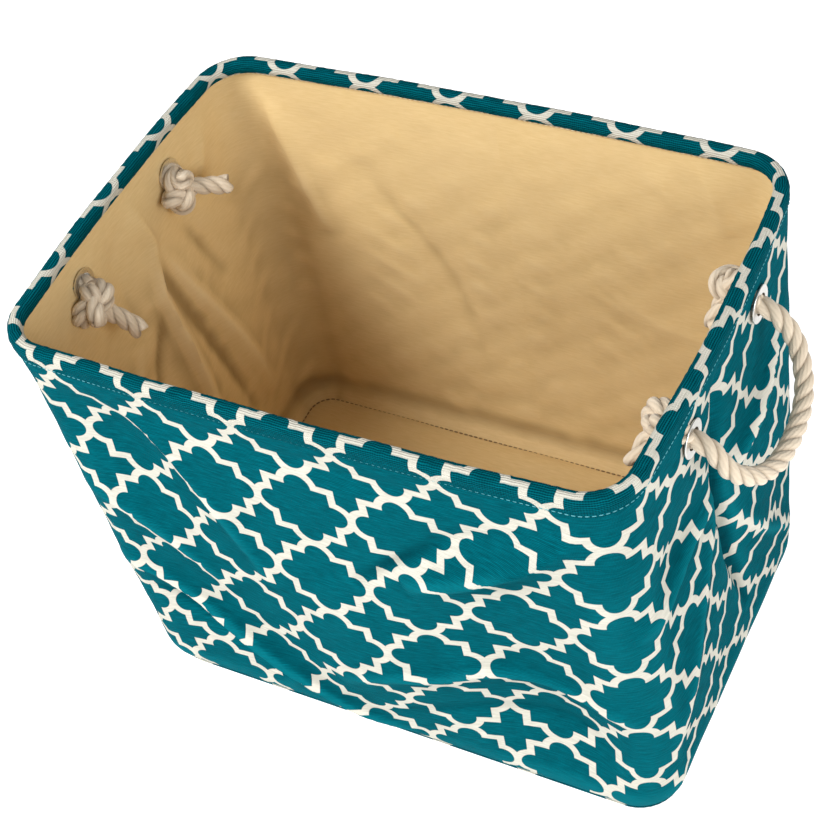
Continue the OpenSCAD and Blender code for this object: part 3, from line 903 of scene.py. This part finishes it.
def knot_route(sx, sy, centre, tail):
    """Through the eyelet, then an overhand knot: a line that winds three times round a ring
    while it goes twice round the ring's axis, radius R + A cos(3/2 angle) and rise
    A sin(3/2 angle). It leaves through the ring along the tail, which droops at its end."""
    eye = np.array([sx * 0.2185, sy * EYELET_Y, EYELET_Z])
    centre, tail = np.array(centre), np.array(tail) / 1000
    axis = unit(unit(tail) + np.array([-sx * 0.3, 0.0, 0.1]))
    side = unit(np.cross(axis, [0.0, 0.0, 1.0]))
    up = np.cross(side, axis)
    turn = np.linspace(0.35, 0.35 + 3.62 * np.pi, 46)
    reach = WIND_R + WIND_A * np.cos(1.5 * turn)
    spin = sy * turn + (2.4 if sx > 0 else 0.7)
    ring = side * (reach * np.cos(spin))[:, None] + up * (reach * np.sin(spin))[:, None]
    wind = centre + ring + axis * (WIND_A * 1.15 * np.sin(1.5 * turn))[:, None]
    end = centre + tail + unit(tail) * 0.006
    leave = centre + axis * 0.0105
    out = [leave, leave + (end - leave) * 0.5, end + np.array([0, 0, -0.0015])]
    return smooth_line(np.vstack([eye[None], wind, out]), 210)


knots = {"right": [], "left": []}
for (side_name, end_name), (centre, tail) in KNOTS.items():
    sx, sy = (1 if side_name == "right" else -1), (1 if end_name == "back" else -1)
    route = knot_route(sx, sy, centre, tail)
    share = np.linspace(0, 1, len(route))
    radius = ROPE_TIGHT * (1 + 0.08 * np.clip((share - 0.90) / 0.10, 0, 1) ** 2)
    opened = 1 + 0.22 * np.clip((share - 0.93) / 0.07, 0, 1) ** 2
    grids, coords = rope_strands(route, radius, phase=sy * 1.1, spread=opened)
    name = f"knot_{side_name}_{end_name}"
    knot = new_object(grid_mesh(name + "_rope", grids, coords, around=True, caps=(0, -1)), rope_look)
    belongs(knot, name, "rim")
    knots[side_name].append(knot)

for side_name, sx in (("right", 1), ("left", -1)):
    rope, route = handles[side_name]
    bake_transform(rope)


# ------------------------------------------------------------
# Metal and board that show as they were cut: nickel-plated eyelets and their washers, the
# sprung steel hoop with its sleeve, and the greyboard in the base.
def plated(name, colour, rough):
    """Plated metal: fine drawn scratches and a cloudy film change its roughness."""
    material, tree, shader = node_tree(name)
    place = tree.nodes.new("ShaderNodeTexCoord").outputs["Object"]
    cloud = noise(tree, place, 160.0, 3.0)
    scratch = noise(tree, place, 900.0, 2.0, stretch=(0.15, 1.0, 1.0))
    dulled = tuple(c * 0.82 for c in colour)
    tree.links.new(mixed(tree, cloud, dulled, colour), shader.inputs["Base Color"])
    shader.inputs["Metallic"].default_value = 1.0
    roughness = maths(tree, "MULTIPLY_ADD", scratch, 0.16, rough)
    tree.links.new(roughness, shader.inputs["Roughness"])
    bump(tree, scratch, 0.15, 0.0001, shader)
    return material


def greyboard():
    """Pressed grey paper board with fibre flecks."""
    material, tree, shader = node_tree("greyboard")
    place = tree.nodes.new("ShaderNodeTexCoord").outputs["Object"]
    fleck = noise(tree, place, 700.0, 3.0, 0.7)
    tree.links.new(mixed(tree, fleck, (0.22, 0.20, 0.18), (0.46, 0.43, 0.39)), shader.inputs["Base Color"])
    shader.inputs["Roughness"].default_value = 0.9
    bump(tree, fleck, 0.3, 0.0004, shader)
    return material


def finish_node(node, material):
    """Gives a CAD node's object the material in place of its own."""
    piece = next(o for o in bpy.data.objects if o.get("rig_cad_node") == node)
    piece.data.materials.clear()
    piece.data.materials.append(material)


nickel = plated("nickel_plate", (0.78, 0.76, 0.72), 0.22)
spring_steel = plated("spring_steel", (0.50, 0.50, 0.52), 0.34)
for side_name in ("right", "left"):
    for end_name in ("back", "front"):
        finish_node(f"eyelet_{side_name}_{end_name}", nickel)
        finish_node(f"washer_{side_name}_{end_name}", nickel)
finish_node("rim_wire", spring_steel)
finish_node("wire_sleeve", spring_steel)
finish_node("base_board", greyboard())


# ------------------------------------------------------------
# Floor and studio light: a white sheet, a large soft light from the upper left of the
# camera, weaker ones from the right and from low in front, and an even white surround.
def pale_floor():
    """Matt white paper with a barely uneven tone."""
    material, tree, shader = node_tree("pale_floor")
    place = tree.nodes.new("ShaderNodeTexCoord").outputs["Object"]
    tone = noise(tree, place, 3.0)
    tree.links.new(mixed(tree, tone, (0.50, 0.50, 0.50), (0.54, 0.54, 0.54)), shader.inputs["Base Color"])
    shader.inputs["Roughness"].default_value = 0.9
    shader.inputs["Emission Color"].default_value = (1.0, 1.0, 1.0, 1.0)
    shader.inputs["Emission Strength"].default_value = 0.85
    return material


metres = np.linspace(-6, 6, 9)
ground = np.stack(np.meshgrid(metres, metres, [0.0]), axis=-1)[:, :, 0][::-1]
floor = new_object(grid_mesh("floor", [ground], [ground[..., :2]]), pale_floor())


def soft_light(name, place, size, power):
    """A square area light aimed from its place at the middle of the bin."""
    data = bpy.data.lights.new(name, "AREA")
    data.size, data.energy = size, power
    light = bpy.data.objects.new(name, data)
    bpy.context.scene.collection.objects.link(light)
    aim = (Vector((0.0, 0.0, 0.2)) - Vector(place)).to_track_quat("-Z", "Y").to_matrix().to_4x4()
    light.matrix_world = Matrix.Translation(Vector(place)) @ aim


soft_light("key", (-0.85, -1.35, 2.05), 0.8, 59.0)
soft_light("fill", (1.8, -0.8, 1.0), 1.4, 33.0)
soft_light("front", (-1.4, -1.7, 0.6), 1.0, 11.0)
# the surround lights the bin weakly, and looks as white as the floor
world = bpy.data.worlds.new("studio")
world.use_nodes = True
nodes, links = world.node_tree.nodes, world.node_tree.links
weak, plain = nodes["Background"], nodes.new("ShaderNodeBackground")
for background, strength in ((weak, 0.30), (plain, 1.0)):
    background.inputs["Color"].default_value = (1.0, 1.0, 1.0, 1.0)
    background.inputs["Strength"].default_value = strength
either = nodes.new("ShaderNodeMixShader")
links.new(nodes.new("ShaderNodeLightPath").outputs["Is Camera Ray"], either.inputs[0])
links.new(weak.outputs[0], either.inputs[1])
links.new(plain.outputs[0], either.inputs[2])
links.new(either.outputs[0], nodes["World Output"].inputs["Surface"])
bpy.context.scene.world = world
bpy.context.scene.view_settings.view_transform = "Standard"
